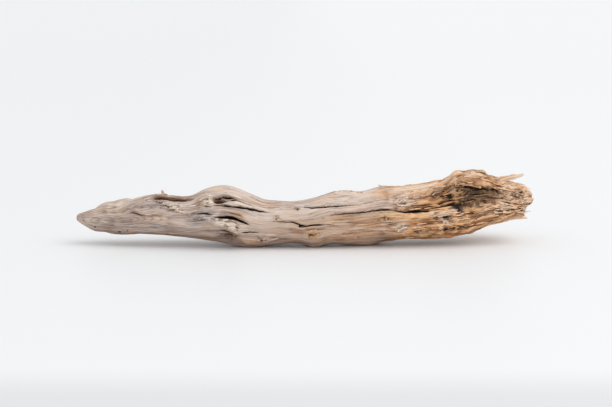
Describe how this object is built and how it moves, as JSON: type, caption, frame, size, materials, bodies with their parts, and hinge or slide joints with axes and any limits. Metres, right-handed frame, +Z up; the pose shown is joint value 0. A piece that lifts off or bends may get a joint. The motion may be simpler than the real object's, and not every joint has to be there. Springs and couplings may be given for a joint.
{
  "type": "piece of driftwood",
  "caption": "Weathered branch of driftwood lying on its belly, worn to a blade at one end and broken into rotten fibres at the other.",
  "frame": {"origin": "middle of the box's bottom: the surface that the driftwood lies on, at the middle of its length and depth", "axes": "+X along the log, from the blade end to the broken end; -Y the side with the rotten pocket and the long cracks; +Z up as it lies"},
  "size_m": [0.3814, 0.072, 0.0635],
  "materials": {
    "driftwood": "bare dry weathered wood, silver-grey to tan, matt, with open cracks and soft brown rot at the broken end"
  },
  "bodies": {
    "root": {"driftwood": "driftwood"}
  },
  "joints": []
}
